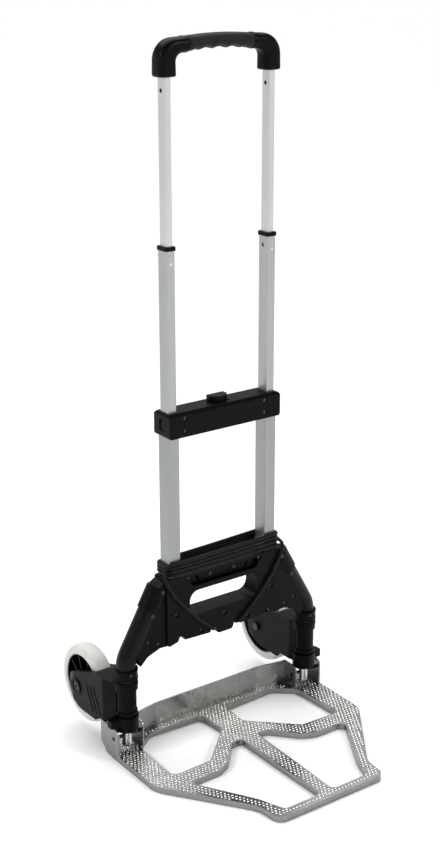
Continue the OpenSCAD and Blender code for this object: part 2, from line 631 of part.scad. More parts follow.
module toe_plate() color([0.83, 0.84, 0.85]) at_legs() difference() {
    union() {
        layer(PLATE, plate_top_z - sheet, plate_top_z, 8);
        // edge turned down all round, except behind the legs
        intersection() {
            difference() {
                layer(PLATE, 0, plate_top_z, 8);
                layer(inset(PLATE, sheet), -through, plate_top_z + through, 8);
            }
            translate([-leg_pitch, -plate_reach - 1, 0]) cube([2 * leg_pitch, plate_reach + 6, plate_top_z]);
        }
        // collars turned down round the four cut-outs
        both_sides() for (cut = [REAR_CUT, FRONT_CUT]) layer(inset(cut, -sheet), 0.5, plate_top_z);
        both_sides() {
            side_slab(OUTER_EAR, plate_half_w - sheet, plate_half_w);
            side_slab(INNER_EAR, inner_ear_x - sheet, inner_ear_x);
        }
        // back edge turned up between the inner ears
        intersection() {
            difference() {
                layer(PLATE, plate_top_z - sheet, ear_top_z - 2, 8);
                layer(inset(PLATE, sheet), plate_top_z - through, ear_top_z, 8);
            }
            translate([-inner_ear_x, 0, 0]) cube([2 * inner_ear_x, 100, 100]);
        }
    }
    both_sides() for (cut = [REAR_CUT, FRONT_CUT]) layer(cut, -through, plate_top_z + through);
    both_sides() translate([0, 0, hinge_z]) rod_x(pin_r + fit, inner_ear_x - 10, plate_half_w + 10);
}

// ---- wheel brackets ---------------------------------------------------------------------------

// Side view of the bracket, (v, z), and its plan, (u, v)
CHEEK = [[2, 55.5, 0], [42, 55.5, 2], [47, 46, 3], [96, 46, 18], [wheel_reach + 28, 60, 22],
    [wheel_reach + 28, 92, 24], [98, 108, 24], [46, 126.5, 30], [2, 126.5, 0]];
PLAN = [[-15, -2, 0], [15, -2, 0], [outer_cheek + outer_wall, 24, 14],
    [outer_cheek + outer_wall, wheel_reach + 10, 30],
    [outer_cheek + 3, wheel_reach + 30, 3], [inner_cheek - 2, wheel_reach + 30, 2],
    [inner_cheek - inner_wall, wheel_reach + 12, 10], [inner_cheek - inner_wall, 16, 8]];

module at_axle(side) at_legs() on_side(side) translate([leg_x, wheel_reach, wheel_z]) children();

module wheel_bracket(side) color([0.12, 0.12, 0.13]) at_legs() on_side(side) translate([leg_x, 0, 0])
    difference() {
        union() {
            difference() {
                intersection() {
                    side_slab(CHEEK, inner_cheek - inner_wall - 1, outer_cheek + outer_wall + 1);
                    layer(PLAN, bracket_low_z, bracket_high_z);
                }
                // room for the wheel, and the hollow moulded behind the outer cheek
                translate([0, wheel_reach, wheel_z]) rod_x(wheel_r + 3, inner_cheek, outer_cheek);
                intersection() {
                    side_slab(inset(CHEEK, 3.5), outer_cheek - through, outer_cheek + outer_wall - 3);
                    translate([0, wheel_reach, wheel_z]) difference() {
                        rod_x(wheel_r + 3, outer_cheek - 2 * through, outer_cheek + outer_wall);
                        rod_x(12, outer_cheek - 2 * through, outer_cheek + outer_wall);
                    }
                }
            }
            // bosses round the axle
            translate([0, wheel_reach, wheel_z]) {
                rod_x(13, outer_cheek + 2, outer_cheek + outer_wall + 1.6);
                rod_x(11, inner_cheek - inner_wall - 0.6, inner_cheek);
            }
            // barrel with its rings, and the lug that the plate's ear turns
            rod_z(15.5, bracket_low_z, bracket_high_z);
            rod_z(18, 114, bracket_high_z);
            rod_z(18.6, 122, 125);
            rod_z(18, bracket_low_z, 70);
            rod_z(18.6, 67, 70);
            rod_z(17, 74, 78);
            layer([[10, -8, 3], [31, -7, 3], [31, 7, 3], [10, 9, 3]], 55.5, 67);
            // three raised strips and four dots on the outer cheek
            for (i = [0 : 2]) translate([outer_cheek + outer_wall, 64 - 11 * i, 78 + i]) rotate([-26, 0, 0])
                translate([-1, -0.9, -24]) cube([1.8, 1.8, 46]);
            for (p = [[35, 92], [36, 78], [37, 64], [46, 60]])
                translate([0, p[0], p[1]]) rod_x(1.4, outer_cheek, outer_cheek + outer_wall + 0.7);
        }
        rod_z(bush_r, bracket_low_z - through, bracket_high_z + through);
        translate([0, wheel_reach, wheel_z]) {
            rod_x(axle_r, inner_cheek - 10, outer_cheek + 20);
            rod_x(8, outer_cheek + outer_wall - 3.5, outer_cheek + 20);
        }
    }

module pivot_bush(side) color([0.8, 0.79, 0.74]) at_legs() translate([side * leg_x, 0, 0]) difference() {
    rod_z(bush_r, bracket_low_z, bracket_high_z);
    rod_z(post_r + fit, bracket_low_z - through, bracket_high_z + through);
}

module axle_bolt(side) color([0.75, 0.76, 0.78]) at_axle(side) {
    head = outer_cheek + outer_wall - 3.5;
    rod_x(axle_r, inner_cheek - inner_wall - 0.6, head);
    difference() {
        translate([head, 0, 0]) rotate([0, 90, 0]) cylinder(r = 7, h = 4);
        translate([head + 2, 0, 0]) rotate([0, 90, 0]) cylinder(r = 3, h = 4, $fn = 6);
    }
}

module axle_nut(side) color([0.6, 0.6, 0.62]) at_axle(side) difference() {
    translate([inner_cheek - inner_wall - 4.1, 0, 0]) rotate([0, 90, 0]) cylinder(r = 7, h = 3.5, $fn = 6);
    rod_x(axle_r, inner_cheek - inner_wall - 0.6, inner_cheek);
}

// ---- wheels -----------------------------------------------------------------------------------

rim_w = wheel_w - 4;
hub_r = 11;
wheel_bush_r = axle_r + 3;
spokes = 10;
spoke_w = 2.4;

module wheel_rim(side) color([0.06, 0.06, 0.06]) at_axle(side) translate([wheel_u, 0, 0]) difference() {
    union() {
        difference() {
            rod_x(rim_r, -rim_w / 2, rim_w / 2);
            rod_x(rim_r - 5, -rim_w, rim_w);
        }
        rod_x(hub_r, -wheel_w / 2 - 1, wheel_w / 2 + 1);
        rod_x(rim_r - 2, -2, 2);
        for (i = [0 : spokes - 1]) rotate([360 * i / spokes, 0, 0])
            translate([-rim_w / 2 + 1, hub_r - 2, -spoke_w / 2]) cube([rim_w - 2, rim_r - hub_r, spoke_w]);
    }
    rod_x(wheel_bush_r, -wheel_w, wheel_w);
}

module tyre(side) color([0.9, 0.9, 0.86]) at_axle(side) translate([wheel_u, 0, 0]) rotate([0, 90, 0])
    rotate_extrude($fn = 96) intersection() {
        polygon(rounded([[rim_r, -wheel_w / 2, 1], [wheel_r, -wheel_w / 2, 9], [wheel_r, wheel_w / 2, 9],
            [rim_r, wheel_w / 2, 1]], 8));
        translate([rim_r, -wheel_w]) square([wheel_r, 2 * wheel_w]);
    }

module wheel_bush(side) color([0.82, 0.81, 0.76]) at_axle(side) translate([wheel_u, 0, 0]) difference() {
    rod_x(wheel_bush_r, -wheel_w / 2 - 1.5, wheel_w / 2 + 1.5);
    rod_x(axle_r + fit, -wheel_w, wheel_w);
}

// ---- elastic cord -----------------------------------------------------------------------------

module elastic_cord() color([0.07, 0.07, 0.07]) at_legs() sweep(CORD, cord_r, 8);
module cord_stops() color([0.07, 0.07, 0.07]) at_legs() for (x = CORD_ENDS)
    translate([x, 0, cord_end_z]) rod_y(4.5, 2, 6);

body_front_shell();
body_rear_shell();
body_screws();
leg_tube(LEFT);  // leg_tube_left
leg_tube(RIGHT);  // leg_tube_right
leg_collar(LEFT);  // leg_collar_left
leg_collar(RIGHT);  // leg_collar_right
collar_screws();
pivot_post(LEFT);  // pivot_post_left
pivot_post(RIGHT);  // pivot_post_right
post_plugs();
thrust_washers();
retaining_rings();
hinge_pin(LEFT);  // hinge_pin_left
hinge_pin(RIGHT);  // hinge_pin_right
outer_tube(LEFT);  // outer_tube_left
outer_tube(RIGHT);  // outer_tube_right
crossbar_front_shell();
crossbar_rear_shell();
crossbar_screws();
latch_spring();
elastic_cord();
cord_stops();
latch(LEFT);  // latch_left
latch(RIGHT);  // latch_right
release_button();
mid_tube(LEFT);  // mid_tube_left
mid_tube(RIGHT);  // mid_tube_right
mid_cap(LEFT);  // mid_cap_left
mid_cap(RIGHT);  // mid_cap_right
mid_bush(LEFT);  // mid_bush_left
mid_bush(RIGHT);  // mid_bush_right
cap_rivets();
top_tube(LEFT);  // top_tube_left
top_tube(RIGHT);  // top_tube_right
top_bush(LEFT);  // top_bush_left
top_bush(RIGHT);  // top_bush_right
handle_elbow(LEFT);  // handle_elbow_left
handle_elbow(RIGHT);  // handle_elbow_right
grip();
handle_screws();
toe_plate();
wheel_bracket(LEFT);  // wheel_bracket_left
wheel_bracket(RIGHT);  // wheel_bracket_right
pivot_bush(LEFT);  // pivot_bush_left
pivot_bush(RIGHT);  // pivot_bush_right
axle_bolt(LEFT);  // axle_bolt_left
axle_bolt(RIGHT);  // axle_bolt_right
axle_nut(LEFT);  // axle_nut_left
axle_nut(RIGHT);  // axle_nut_right
wheel_rim(LEFT);  // wheel_rim_left
wheel_rim(RIGHT);  // wheel_rim_right
tyre(LEFT);  // tyre_left
tyre(RIGHT);  // tyre_right
wheel_bush(LEFT);  // wheel_bush_left
wheel_bush(RIGHT);  // wheel_bush_right
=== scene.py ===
import json
import math

import bmesh
import bpy
from bpy.props import FloatProperty, FloatVectorProperty, IntProperty, PointerProperty
from mathutils import Matrix, Vector
from mathutils.bvhtree import BVHTree


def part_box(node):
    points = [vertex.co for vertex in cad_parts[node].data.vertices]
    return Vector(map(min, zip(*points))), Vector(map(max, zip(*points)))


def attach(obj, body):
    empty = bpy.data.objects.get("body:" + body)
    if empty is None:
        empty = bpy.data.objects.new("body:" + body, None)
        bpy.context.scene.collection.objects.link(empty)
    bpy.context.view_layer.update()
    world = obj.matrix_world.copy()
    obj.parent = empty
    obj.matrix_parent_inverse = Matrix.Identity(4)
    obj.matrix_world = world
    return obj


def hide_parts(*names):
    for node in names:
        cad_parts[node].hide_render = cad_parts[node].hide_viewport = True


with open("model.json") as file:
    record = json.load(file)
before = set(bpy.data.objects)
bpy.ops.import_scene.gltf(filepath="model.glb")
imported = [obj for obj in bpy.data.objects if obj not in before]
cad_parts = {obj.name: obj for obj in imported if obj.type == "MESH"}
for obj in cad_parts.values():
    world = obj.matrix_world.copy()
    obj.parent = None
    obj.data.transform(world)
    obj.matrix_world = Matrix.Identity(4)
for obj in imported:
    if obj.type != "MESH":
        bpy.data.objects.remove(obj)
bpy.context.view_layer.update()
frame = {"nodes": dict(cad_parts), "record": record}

bl_info = {
    "name": "Folding hand truck",
    "version": (1, 0, 0),
    "blender": (4, 5, 0),
    "location": "3D Viewport > Sidebar > Hand truck",
    "description": "Builds the finished look of a folding telescopic hand truck round its frame",
    "category": "Object",
}

NODES = frame["nodes"]
BODY_OF = {node: body for body, nodes in frame["record"]["behaviour"]["bodies"].items() for node in nodes}
SLOT_OF = {part["node"]: part["material_slot"] for part in frame["record"]["subparts"]}
SIDES = (("left", -1), ("right", 1))
LEG_Y = sum(corner.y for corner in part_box("leg_tube_left")) / 2
COLUMN_X = sum(corner.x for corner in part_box("top_tube_right")) / 2
LEG_X = sum(corner.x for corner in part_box("pivot_post_right")) / 2
LOAD_FACE_Z = 0.010
WELD = 2e-6                 # how far apart two points of a CAD mesh may be and still be one
STAGE_SHADES = (("outer", 0.80), ("mid", 0.98), ("top", 1.40))     # the inner stages are brighter
DOT_MARGIN = 0.0009         # clear sheet kept round each raised dot
FLAT_WITHIN = 0.0002        # how far from the load face a point may be and still carry a dot
CORD_STEP = 0.0018          # spacing of the points along the cord
CORD_PASSES = 5             # how often those points are evened out
TYRE_BORE = 0.76            # share of the tyre's radius taken by its bore
TYRE_CORNER = 0.0008        # flat at the corner of the bore
TYRE_SIDE = 0.0055          # height of the tyre's straight side wall
TYRE_CROWN = 0.72           # exponent of the crown; 1 is an ellipse
# Cross recess of a screw head
RECESS_LENGTH = 0.0062 * 0.62
RECESS_WIDTH = 0.0062 * 0.17
RECESS_DEPTH = 0.0022
RECESS_MIDDLE = 0.0017
# Handle: the grip's thickness and finger pitch, and the elbow's bends and half width
GRIP_THICKNESS = 0.0232
FINGER_PITCH = 0.023
ELBOW_HALF_W = 0.014
ELBOW_OUTER_BEND = 0.029
ELBOW_INNER_BEND = 0.0115
ELBOW_TOP_DROP = 0.0035
ELBOW_UNDER_DROP = 0.0245


# ---- sizes and finishes a user would change -----------------------------------------------------

class HandTruckSizes(bpy.types.PropertyGroup):
    edge_radius: FloatProperty(
        name="Moulded edge", description="Width of the rounding on edges of moulded parts",
        default=0.0007, min=0.0001, unit="LENGTH")
    sheet_edge: FloatProperty(
        name="Sheet edge", description="Width of the rounding on the toe plate's edges",
        default=0.0005, min=0.0001, unit="LENGTH")
    leg_radius: FloatProperty(
        name="Leg radius", description="Outer radius of the round leg tube", default=0.015, unit="LENGTH")
    leg_lean: FloatProperty(
        name="Leg lean", description="Lean of the upper leg from the vertical",
        default=math.radians(29.5), subtype="ANGLE")
    leg_bend: FloatProperty(
        name="Leg bend", description="Radius of the bend on the leg's centre line",
        default=0.05, unit="LENGTH")
    leg_knee: FloatProperty(
        name="Knee height", description="Height where the leg's two straight lines meet",
        default=0.1585, unit="LENGTH")
    leg_run: FloatProperty(
        name="Leg run", description="Length of the leaning line above the knee",
        default=0.1195, unit="LENGTH")
    cord_radius: FloatProperty(
        name="Cord radius", description="Radius of the elastic cord", default=0.0026, unit="LENGTH")
    dot_pitch: FloatProperty(
        name="Dot pitch", description="Spacing of the raised dots across the toe plate",
        default=0.006, min=0.003, unit="LENGTH")
    dot_radius: FloatProperty(
        name="Dot radius", description="Radius of one raised dot", default=0.0021, unit="LENGTH")
    dot_height: FloatProperty(
        name="Dot height", description="Height of one raised dot", default=0.0011, unit="LENGTH")
    screw_radius: FloatProperty(
        name="Screw head radius", description="Radius of the pan head", default=0.0031, unit="LENGTH")
    screw_head: FloatProperty(
        name="Screw head height", description="Height of the pan head", default=0.0018, unit="LENGTH")
    tyre_segments: IntProperty(
        name="Tyre segments", description="Steps round each tyre", default=160, min=32)


class HandTruckFinishes(bpy.types.PropertyGroup):
    moulded: FloatVectorProperty(
        name="Moulded plastic", description="Colour of the body, brackets and caps",
        subtype="COLOR", size=3, default=(0.0022, 0.0024, 0.0029), min=0, max=1)
    grip: FloatVectorProperty(
        name="Grip", description="Colour of the soft grip",
        subtype="COLOR", size=3, default=(0.0042, 0.0045, 0.0052), min=0, max=1)
    tube: FloatVectorProperty(
        name="Tubes", description="Colour of the anodised tubes",
        subtype="COLOR", size=3, default=(0.40, 0.41, 0.41), min=0, max=1)
    plate: FloatVectorProperty(
        name="Toe plate", description="Colour of the bright plate",
        subtype="COLOR", size=3, default=(0.27, 0.275, 0.265), min=0, max=1)
    # Painted highlight: the tread's domes take the plate's own finish made this many times brighter, standing
    # in for light caught on their tops
    dome_highlight: FloatProperty(
        name="Dome brightness", description="How much brighter the tread's domes are than the sheet",
        default=3.0, min=1, max=4)
    tyre: FloatVectorProperty(
        name="Tyres", description="Colour of the pale tyres",
        subtype="COLOR", size=3, default=(0.60, 0.625, 0.56), min=0, max=1)


class HandTruckStage(bpy.types.PropertyGroup):
    eye: FloatVectorProperty(
        name="Camera place", description="Where the camera stands",
        subtype="XYZ", size=3, unit="LENGTH", default=(-1.1996, -1.6128, 1.2017))
    ahead: FloatVectorProperty(
        name="Camera direction", description="The way the camera looks",
        subtype="DIRECTION", size=3, default=(0.55243, 0.76757, -0.32504))
    overhead: FloatVectorProperty(
        name="Camera up", description="The camera's upward direction",
        subtype="DIRECTION", size=3, default=(0.19116, 0.26290, 0.94570))
    lens: FloatProperty(
        name="Lens", description="Focal length in millimetres on a 36 mm frame", default=62.26, min=1)
    floor_size: FloatProperty(
        name="Floor size", description="Side of the square floor", default=120.0, unit="LENGTH")
    floor: FloatVectorProperty(
        name="Floor", description="Colour of the plain floor",
        subtype="COLOR", size=3, default=(0.97, 0.97, 0.97), min=0, max=1)
    surround: FloatProperty(
        name="Surround", description="Strength of the light from all round", default=1.0, min=0)
    key: FloatProperty(
        name="Key light", description="Power of the large light at the front right", default=42.0, min=0)
    fill: FloatProperty(
        name="Fill light", description="Power of the small light at the left", default=34.0, min=0)
    ceiling: FloatProperty(
        name="Ceiling light", description="Strength of the wide soft light overhead", default=3.15, min=0)


def sizes():
    return bpy.context.scene.hand_truck_sizes


def finishes():
    return bpy.context.scene.hand_truck_finishes


# ---- materials ------------------------------------------------------------------------------------

class Finish:
    """A material whose patterns are laid out on Object coordinates, in metres."""

    def __init__(self, name, uv=False, **shader):
        self.material = bpy.data.materials.new(name)
        self.material.use_nodes = True
        self.tree = self.material.node_tree
        self.shader = self.tree.nodes["Principled BSDF"]
        for socket, value in shader.items():
            self.shader.inputs[socket.replace("_", " ")].default_value = value
        self.place = self.tree.nodes.new("ShaderNodeTexCoord").outputs["UV" if uv else "Object"]

    def node(self, kind, links=(), **settings):
        node = self.tree.nodes.new(kind)
        for name, value in settings.items():
            setattr(node, name, value)
        for socket, value in dict(links).items():
            if isinstance(value, bpy.types.NodeSocket):
                self.tree.links.new(value, node.inputs[socket])
            else:
                node.inputs[socket].default_value = value
        return node

    def stretched(self, scale):
        return self.node("ShaderNodeMapping", {"Vector": self.place, "Scale": scale}).outputs[0]

    def noise(self, scale, detail=2.0, stretch=(1, 1, 1), roughness=0.5):
        place = self.place if stretch == (1, 1, 1) else self.stretched(stretch)
        return self.node("ShaderNodeTexNoise", {
            "Vector": place, "Scale": scale, "Detail": detail, "Roughness": roughness}).outputs["Fac"]

    def cells(self, scale):
        return self.node("ShaderNodeTexVoronoi", {"Vector": self.place, "Scale": scale}).outputs["Distance"]

    def spread(self, value, low, high, start=0.3, end=0.7):
        return self.node("ShaderNodeMapRange", {
            "Value": value, "From Min": start, "From Max": end, "To Min": low, "To Max": high}).outputs[0]

    def between(self, value, first, second, start=0.35, end=0.65):
        ramp = self.node("ShaderNodeValToRGB", {"Fac": value})
        ramp.color_ramp.elements[0].position, ramp.color_ramp.elements[1].position = start, end
        ramp.color_ramp.elements[0].color = (*first, 1)
        ramp.color_ramp.elements[1].color = (*second, 1)
        return ramp.outputs["Color"]

    def mixed(self, share, first, second):
        mix = self.node("ShaderNodeMix", data_type="RGBA")
        for socket, value in ((mix.inputs[0], share), (mix.inputs[6], first), (mix.inputs[7], second)):
            if isinstance(value, bpy.types.NodeSocket):
                self.tree.links.new(value, socket)
            else:
                socket.default_value = value
        return mix.outputs[2]

    def bump(self, height, strength, distance, under=None):
        links = {"Height": height, "Strength": strength, "Distance": distance}
        if under:
            links["Normal"] = under
        return self.node("ShaderNodeBump", links).outputs[0]

    def wear(self, colour, shade, start=0.53, end=0.60):
        """The colour, rubbed lighter along outward edges."""
        edge = self.node("ShaderNodeNewGeometry").outputs["Pointiness"]
        rubbed = self.spread(edge, 0.0, 1.0, start, end)
        broken = self.node("ShaderNodeMath", {0: rubbed, 1: self.spread(self.noise(160, 3), 0.15, 1.0)},
                           operation="MULTIPLY").outputs[0]
        return self.mixed(broken, colour, (*shade, 1))

    def done(self, colour, roughness, normal=None):
        for socket, value in (("Base Color", colour), ("Roughness", roughness), ("Normal", normal)):
            if value is not None:
                self.tree.links.new(value, self.shader.inputs[socket])
        return self.material


def tinted(colour, factor):
    return tuple(min(1.0, channel * factor) for channel in colour)


def moulded_finish(name, colour, roughness, grain=2600.0, depth=0.00006):
    f = Finish(name, IOR=1.49, Specular_IOR_Level=0.07)
    fine = f.noise(grain, 2)
    flow = f.noise(26, 3)
    tone = f.between(flow, tinted(colour, 0.86), tinted(colour, 1.22))
    return f.done(f.wear(tone, tinted(colour, 2.2)),
                  f.spread(f.noise(60, 4), roughness - 0.05, roughness + 0.07),
                  f.bump(fine, 0.35, depth, f.bump(flow, 0.05, 0.0006)))


def grip_finish():
    colour = finishes().grip
    f = Finish("grip_rubber", IOR=1.5, Specular_IOR_Level=0.16)
    f.shader.inputs["Sheen Weight"].default_value = 0.04
    f.shader.inputs["Sheen Roughness"].default_value = 0.6
    pores = f.cells(900)
    tone = f.between(f.noise(40, 3), tinted(colour, 0.8), tinted(colour, 1.5))
    return f.done(tone, f.spread(f.noise(120, 3), 0.52, 0.68),
                  f.bump(pores, 0.55, 0.00022, f.bump(f.noise(3000), 0.2, 0.00005)))


def painted_finish():
    f = Finish("powder_black", IOR=1.5, Specular_IOR_Level=0.13)
    colour = tinted(finishes().moulded, 1.15)
    peel = f.noise(700, 2)
    tone = f.between(f.noise(18, 2), tinted(colour, 0.9), tinted(colour, 1.2))
    return f.done(tone, f.spread(f.noise(90, 3), 0.30, 0.40), f.bump(peel, 0.22, 0.00008))


def anodised_finish(name, colour):
    f = Finish(name, Metallic=0.92, IOR=1.45)
    drawn = f.noise(1.0, 3, stretch=(2600, 2600, 9))
    cloud = f.noise(14, 2, stretch=(1, 1, 0.3))
    tone = f.mixed(f.spread(drawn, 0.0, 0.5), f.between(cloud, tinted(colour, 0.95), tinted(colour, 1.04)),
                   (*tinted(colour, 0.84), 1))
    return f.done(tone, f.spread(f.noise(1.0, 3, stretch=(1500, 1500, 20)), 0.34, 0.46),
                  f.bump(drawn, 0.12, 0.00003, f.bump(f.noise(1800), 0.06, 0.00002)))


def plate_finish(name, colour, roughness):
    f = Finish(name, Metallic=1.0, IOR=1.45)
    rolled = f.noise(1.0, 4, stretch=(60, 1800, 60))
    marks = f.noise(330, 5)
    tone = f.mixed(f.spread(marks, 0.0, 0.35, 0.45, 0.75),
                   f.between(f.noise(22, 3), tinted(colour, 0.92), tinted(colour, 1.06)),
                   (*tinted(colour, 0.72), 1))
    return f.done(tone, f.spread(f.noise(75, 5), roughness - 0.04, roughness + 0.08),
                  f.bump(rolled, 0.08, 0.00003, f.bump(f.noise(40, 2), 0.02, 0.0003)))


def steel_finish(name, colour, roughness=0.25, tarnish=(0.30, 0.28, 0.25)):
    f = Finish(name, Metallic=1.0)
    turned = f.noise(1.0, 3, stretch=(300, 300, 5200))
    tone = f.mixed(f.spread(f.noise(240, 4), 0.0, 0.4, 0.5, 0.8),
                   f.between(f.noise(60), tinted(colour, 0.9), colour), (*tarnish, 1))
    return f.done(tone, f.spread(turned, roughness - 0.06, roughness + 0.1), f.bump(turned, 0.10, 0.00003))


def nylon_finish():
    f = Finish("nylon", Subsurface_Weight=0.12, IOR=1.53)
    f.shader.inputs["Subsurface Radius"].default_value = (0.004, 0.003, 0.002)
    return f.done(f.between(f.noise(90, 3), (0.62, 0.60, 0.54), (0.72, 0.70, 0.64)),
                  f.spread(f.noise(150), 0.36, 0.48), f.bump(f.noise(1600), 0.12, 0.00005))


def tyre_finish():
    colour = finishes().tyre
    f = Finish("tyre_pale", Subsurface_Weight=0.25, IOR=1.5)
    f.shader.inputs["Subsurface Radius"].default_value = (0.006, 0.0055, 0.004)
    cloud = f.noise(30, 4)
    scuff = f.spread(f.noise(1.0, 5, stretch=(500, 90, 90)), 0.0, 0.30, 0.55, 0.8)
    tone = f.mixed(scuff, f.between(cloud, tinted(colour, 0.94), tinted(colour, 1.05)),
                   (*tinted(colour, 0.7), 1))
    return f.done(tone, f.spread(f.noise(110, 3), 0.32, 0.46), f.bump(f.noise(1200, 3), 0.15, 0.00007))


def cord_finish():
    f = Finish("cord_braid", uv=True, IOR=1.5, Specular_IOR_Level=0.12)
    f.shader.inputs["Sheen Weight"].default_value = 0.04
    f.shader.inputs["Sheen Roughness"].default_value = 0.5
    strands = []
    for turn in (1, -1):
        place = f.node("ShaderNodeMapping", {
            "Vector": f.place, "Scale": (8.0, 620.0, 1.0),
            "Rotation": (0, 0, turn * math.radians(45))}).outputs[0]
        strands.append(f.node("ShaderNodeTexWave", {
            "Vector": place, "Scale": 0.5, "Distortion": 0.4, "Detail": 1.0}).outputs["Fac"])
    braid = f.node("ShaderNodeMath", {0: strands[0], 1: strands[1]}, operation="MAXIMUM").outputs[0]
    # The braid's grooves are painted darker than the strands' tops: painted shade in the grooves between
    # strands
    return f.done(f.between(braid, (0.0015, 0.0015, 0.0018), (0.0060, 0.0060, 0.0068)),
                  f.spread(braid, 0.62, 0.42), f.bump(braid, 0.6, 0.00025))


# ---- mesh helpers ---------------------------------------------------------------------------------

def shown(name, mesh, material):
    mesh.name = name
    obj = bpy.data.objects.new(name, mesh)
    bpy.context.scene.collection.objects.link(obj)
    mesh.materials.clear()
    mesh.materials.append(material)
    return obj


def placed(obj, body, slot, *nodes):
    """obj rides on the body, takes the slot's finish and stands for the nodes."""
    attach(obj, body)
    if nodes:
        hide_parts(*nodes)
    return obj


def stands_for(obj, *nodes):
    return placed(obj, BODY_OF[nodes[0]], SLOT_OF[nodes[0]], *nodes)


def finish_node(node, material):
    NODES[node].data.materials.clear()
    NODES[node].data.materials.append(material)


def made_plain(obj, name, material):
    """The evaluated object as a plain mesh; the working object goes."""
    graph = bpy.context.evaluated_depsgraph_get()
    mesh = bpy.data.meshes.new_from_object(obj.evaluated_get(graph))
    obj.modifiers.clear()
    bpy.data.objects.remove(obj)
    return shown(name, mesh, material)


def merged_copy(node, flat_angle=0.6):
    mesh = NODES[node].data.copy()
    bm = bmesh.new()
    bm.from_mesh(mesh)
    bmesh.ops.remove_doubles(bm, verts=bm.verts, dist=WELD)
    bmesh.ops.dissolve_degenerate(bm, dist=WELD, edges=bm.edges)
    bmesh.ops.dissolve_limit(bm, angle_limit=math.radians(flat_angle), verts=bm.verts, edges=bm.edges)
    bm.to_mesh(mesh)
    bm.free()
    if "custom_normal" in mesh.attributes:
        mesh.attributes.remove(mesh.attributes["custom_normal"])
    return mesh


def softened(node, material, width, name=None):
    """A copy of a CAD node with every sharp edge rounded, standing for the node."""
    name = name or node + "_moulding"
    work = bpy.data.objects.new("work", merged_copy(node))
    bpy.context.scene.collection.objects.link(work)
    work.data.shade_smooth()
    rounding = work.modifiers.new("rounding", "BEVEL")
    rounding.width = width
    rounding.segments = 2
    rounding.limit_method = "ANGLE"
    rounding.angle_limit = math.radians(34)
    rounding.use_clamp_overlap = True
    rounding.miter_outer = "MITER_ARC"
    shading = work.modifiers.new("shading", "WEIGHTED_NORMAL")
    shading.keep_sharp = True
    shading.weight = 80
    work.modifiers.new("triangles", "TRIANGULATE").keep_custom_normals = True
    return stands_for(made_plain(work, name, material), node)


def smooth_skin(name, bm, sharp_degrees, material):
    """The mesh as an object that faces outwards, shaded smooth up to an angle."""
    bmesh.ops.recalc_face_normals(bm, faces=bm.faces)
    mesh = bpy.data.meshes.new(name)
    bm.to_mesh(mesh)
    bm.free()
    mesh.shade_smooth()
    mesh.set_sharp_from_angle(angle=math.radians(sharp_degrees))
    return shown(name, mesh, material)


def ringed(name, rings, material):
    """A closed skin over rings of points, each ring the same length."""
    bm = bmesh.new()
    rows = [[bm.verts.new(point) for point in ring] for ring in rings]
    count = len(rows[0])
    for low, high in zip(rows, rows[1:]):
        for k in range(count):
            bm.faces.new((low[k], low[(k + 1) % count], high[(k + 1) % count], high[k]))
    bm.faces.new(rows[0][::-1])
    bm.faces.new(rows[-1])
    return smooth_skin(name, bm, 40, material)


def turned(name, profile, centre, segments, material):
    """A closed ring turned about the axle; the profile is (distance along the axle, radius)."""
    rings = []
    for k in range(segments):
        a = 2 * math.pi * k / segments
        rings.append([Vector((centre.x + u, centre.y + r * math.cos(a), centre.z + r * math.sin(a)))
                      for u, r in profile])
    bm = bmesh.new()
    rows = [[bm.verts.new(point) for point in ring] for ring in rings]
    count = len(profile)
    for k in range(segments):
        a, b = rows[k], rows[(k + 1) % segments]
        for j in range(count):
            bm.faces.new((a[j], a[(j + 1) % count], b[(j + 1) % count], b[j]))
    return smooth_skin(name, bm, 50, material)


# ---- geometry node trees --------------------------------------------------------------------------

class Tree:
    """A geometry node tree with named inputs."""

    SOCKETS = {"Float": "NodeSocketFloat", "Int": "NodeSocketInt", "Material": "NodeSocketMaterial"}

    def __init__(self, name, **inputs):
        self.group = bpy.data.node_groups.new(name, "GeometryNodeTree")
        face = self.group.interface
        face.new_socket("Geometry", in_out="INPUT", socket_type="NodeSocketGeometry")
        self.identifiers = {
            label: face.new_socket(label.replace("_", " "), in_out="INPUT",
                                   socket_type=self.SOCKETS[kind]).identifier
            for label, kind in inputs.items()}
        face.new_socket("Geometry", in_out="OUTPUT", socket_type="NodeSocketGeometry")
        self.given = self.group.nodes.new("NodeGroupInput")
        self.result = self.group.nodes.new("NodeGroupOutput")

    def input(self, label):
        return self.given.outputs[label.replace("_", " ")]

    def node(self, kind, links=(), **settings):
        node = self.group.nodes.new(kind)
        for name, value in settings.items():
            setattr(node, name, value)
        for socket, value in dict(links).items():
            if isinstance(value, bpy.types.NodeSocket):
                self.group.links.new(value, node.inputs[socket])
            else:
                node.inputs[socket].default_value = value
        return node

    def ends(self, geometry):
        real = self.node("GeometryNodeRealizeInstances", {"Geometry": geometry})
        painted = self.node("GeometryNodeSetMaterial", {
            "Geometry": real.outputs[0], "Material": self.input("Material")})
        self.group.links.new(painted.outputs[0], self.result.inputs[0])

    def grown_on(self, name, points, edges, material, **values):
        """The tree run on points and edges, as a plain mesh object."""
        mesh = bpy.data.meshes.new("seed")
        mesh.from_pydata(points, edges, [])
        work = bpy.data.objects.new("seed", mesh)
        bpy.context.scene.collection.objects.link(work)
        modifier = work.modifiers.new("growth", "NODES")
        modifier.node_group = self.group
        for label, value in dict(values, Material=material).items():
            modifier[self.identifiers[label]] = value
        return made_plain(work, name, material)


